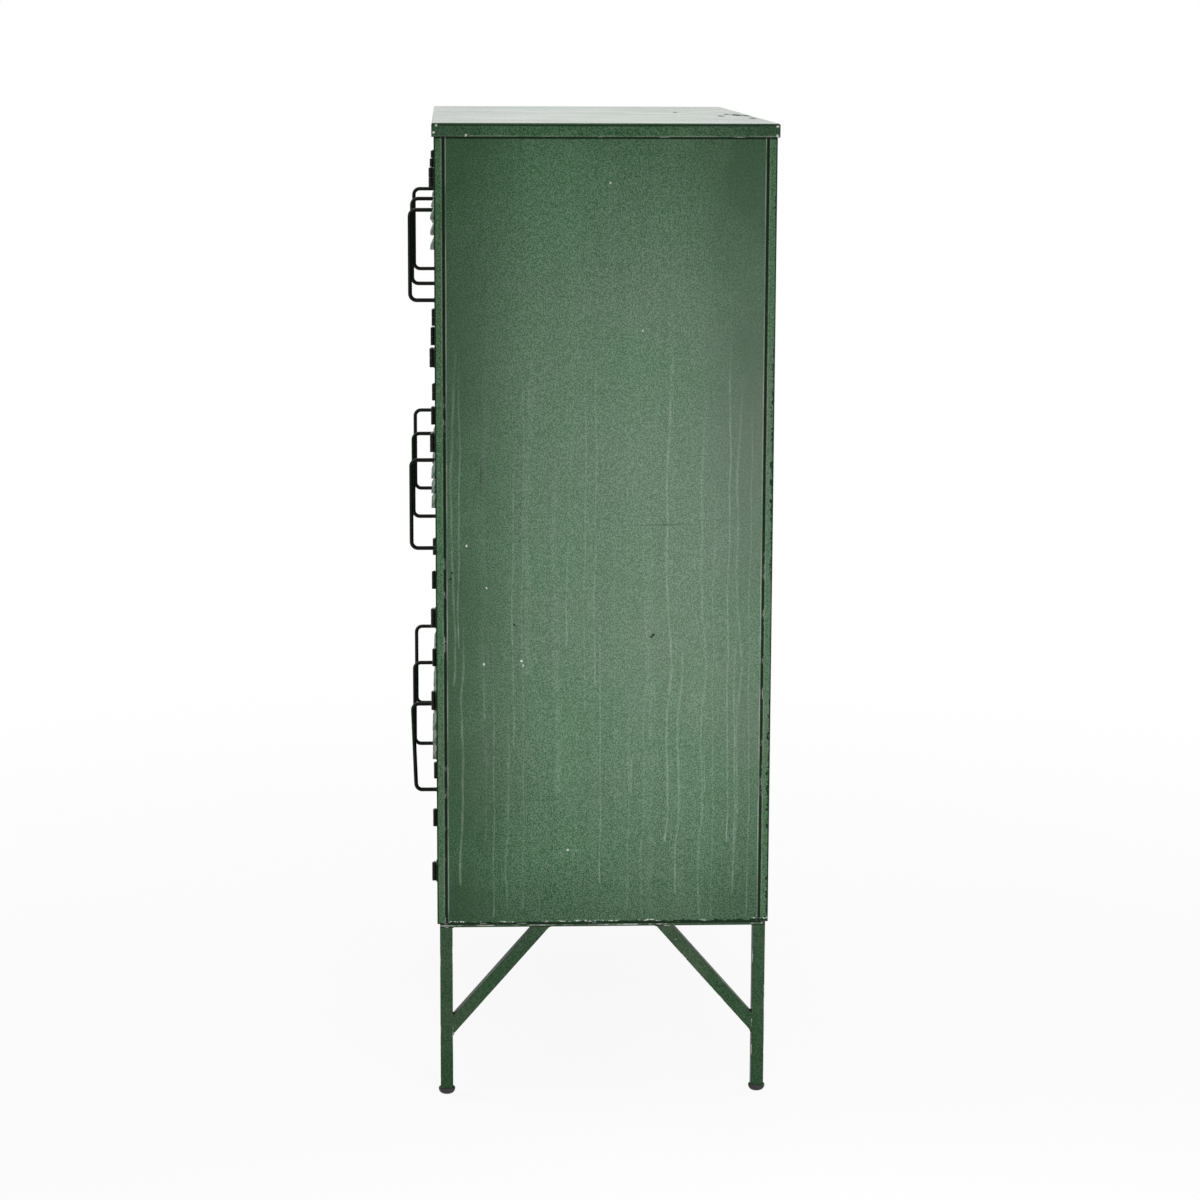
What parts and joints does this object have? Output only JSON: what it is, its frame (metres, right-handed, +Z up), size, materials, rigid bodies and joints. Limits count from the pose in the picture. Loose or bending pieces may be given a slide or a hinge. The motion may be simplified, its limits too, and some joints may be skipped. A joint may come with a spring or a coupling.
{
  "type": "industrial locker cabinet",
  "caption": "Painted steel locker cabinet on a braced leg frame, with a grid of side-hung louvred doors, wire pull handles, and shelves and partitions behind them.",
  "frame": {"origin": "on the floor, below the middle of the overall box, which runs from the front of the handles to the lid's rear edge", "axes": "+Z up, +Y from the doors to the back, +X to the right of a person facing the doors"},
  "size_m": [0.83, 0.4306, 1.158],
  "materials": {
    "green_paint": "aged semi-gloss grey-green enamel on sheet steel",
    "dark_paint": "near-black green enamel, worn on handles and hinges",
    "pin_steel": "plain drawn steel rod",
    "glide_plastic": "black moulded glide",
    "magnet_block": "black catch housing"
  },
  "bodies": {
    "cabinet": {"lid": "green_paint", "side_panel_left": "green_paint", "side_panel_right": "green_paint", "back_panel": "green_paint", "front_post_left": "green_paint", "front_post_right": "green_paint", "partition_left": "green_paint", "partition_right": "green_paint", "top_rail": "green_paint", "floor_pan": "green_paint", "shelf_lower_left": "green_paint", "shelf_lower_centre": "green_paint", "shelf_lower_right": "green_paint", "shelf_upper_left": "green_paint", "shelf_upper_centre": "green_paint", "shelf_upper_right": "green_paint", "leg_front_left": "green_paint", "leg_front_right": "green_paint", "leg_rear_left": "green_paint", "leg_rear_right": "green_paint", "base_bar_front": "green_paint", "base_bar_rear": "green_paint", "base_bar_left": "green_paint", "base_bar_right": "green_paint", "brace_front_left": "green_paint", "brace_front_right": "green_paint", "brace_rear_left": "green_paint", "brace_rear_right": "green_paint", "glides": "glide_plastic", "hinge_post_leaves": "dark_paint", "hinge_pins": "pin_steel", "door_magnets": "magnet_block"},
    "bottom_left_door": {"door_bottom_left": "green_paint", "handle_bottom_left": "dark_paint", "hinge_leaves_bottom_left": "dark_paint"},
    "bottom_centre_door": {"door_bottom_centre": "green_paint", "handle_bottom_centre": "dark_paint", "hinge_leaves_bottom_centre": "dark_paint"},
    "bottom_right_door": {"door_bottom_right": "green_paint", "handle_bottom_right": "dark_paint", "hinge_leaves_bottom_right": "dark_paint"},
    "middle_left_door": {"door_middle_left": "green_paint", "handle_middle_left": "dark_paint", "hinge_leaves_middle_left": "dark_paint"},
    "middle_centre_door": {"door_middle_centre": "green_paint", "handle_middle_centre": "dark_paint", "hinge_leaves_middle_centre": "dark_paint"},
    "middle_right_door": {"door_middle_right": "green_paint", "handle_middle_right": "dark_paint", "hinge_leaves_middle_right": "dark_paint"},
    "top_left_door": {"door_top_left": "green_paint", "handle_top_left": "dark_paint", "hinge_leaves_top_left": "dark_paint"},
    "top_centre_door": {"door_top_centre": "green_paint", "handle_top_centre": "dark_paint", "hinge_leaves_top_centre": "dark_paint"},
    "top_right_door": {"door_top_right": "green_paint", "handle_top_right": "dark_paint", "hinge_leaves_top_right": "dark_paint"}
  },
  "joints": [
    {"name": "bottom_left_hinge", "type": "hinge", "parent": "cabinet", "child": "bottom_left_door", "pos_m": [-0.14492, -0.18545, 0.37663], "axis": [0, 0, 1], "range_deg": [0, 145]},
    {"name": "bottom_centre_hinge", "type": "hinge", "parent": "cabinet", "child": "bottom_centre_door", "pos_m": [0.12342, -0.18545, 0.37663], "axis": [0, 0, 1], "range_deg": [0, 145]},
    {"name": "bottom_right_hinge", "type": "hinge", "parent": "cabinet", "child": "bottom_right_door", "pos_m": [0.39175, -0.18545, 0.37663], "axis": [0, 0, 1], "range_deg": [0, 180]},
    {"name": "middle_left_hinge", "type": "hinge", "parent": "cabinet", "child": "middle_left_door", "pos_m": [-0.14492, -0.18545, 0.6839], "axis": [0, 0, 1], "range_deg": [0, 145]},
    {"name": "middle_centre_hinge", "type": "hinge", "parent": "cabinet", "child": "middle_centre_door", "pos_m": [0.12342, -0.18545, 0.6839], "axis": [0, 0, 1], "range_deg": [0, 145]},
    {"name": "middle_right_hinge", "type": "hinge", "parent": "cabinet", "child": "middle_right_door", "pos_m": [0.39175, -0.18545, 0.6839], "axis": [0, 0, 1], "range_deg": [0, 180]},
    {"name": "top_left_hinge", "type": "hinge", "parent": "cabinet", "child": "top_left_door", "pos_m": [-0.14492, -0.18545, 0.99117], "axis": [0, 0, 1], "range_deg": [0, 145]},
    {"name": "top_centre_hinge", "type": "hinge", "parent": "cabinet", "child": "top_centre_door", "pos_m": [0.12342, -0.18545, 0.99117], "axis": [0, 0, 1], "range_deg": [0, 145]},
    {"name": "top_right_hinge", "type": "hinge", "parent": "cabinet", "child": "top_right_door", "pos_m": [0.39175, -0.18545, 0.99117], "axis": [0, 0, 1], "range_deg": [0, 180]}
  ]
}
